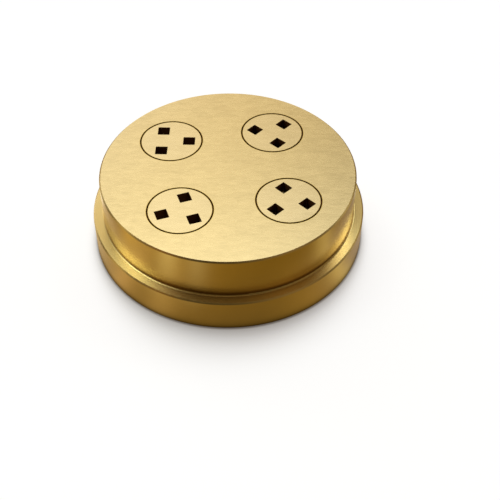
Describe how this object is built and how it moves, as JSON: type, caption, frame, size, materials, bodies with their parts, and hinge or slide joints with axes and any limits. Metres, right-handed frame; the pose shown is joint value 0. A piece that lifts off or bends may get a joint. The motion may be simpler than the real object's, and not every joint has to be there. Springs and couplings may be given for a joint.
{
  "type": "pasta extrusion die",
  "caption": "Round flanged bronze die with flush pressed-in inserts whose square orifices shape dough into square strands; a ring nut clamps its flange to a small extruder.",
  "frame": {"origin": "centre of the back face, on the die's axis, where the die seats on the extruder's barrel", "axes": "+Z along the die's axis, the way the pasta leaves, so the exit face is on top; the inserts lie at 45 degrees to +X and +Y"},
  "size_m": [0.059, 0.059, 0.017],
  "materials": {
    "body_bronze": "satin, straight-brushed exit face and turned sides",
    "insert_bronze": "satin, brushed flush with the exit face"
  },
  "bodies": {
    "root": {"die_body": "body_bronze", "insert_1": "insert_bronze", "insert_2": "insert_bronze", "insert_3": "insert_bronze", "insert_4": "insert_bronze"}
  },
  "joints": []
}
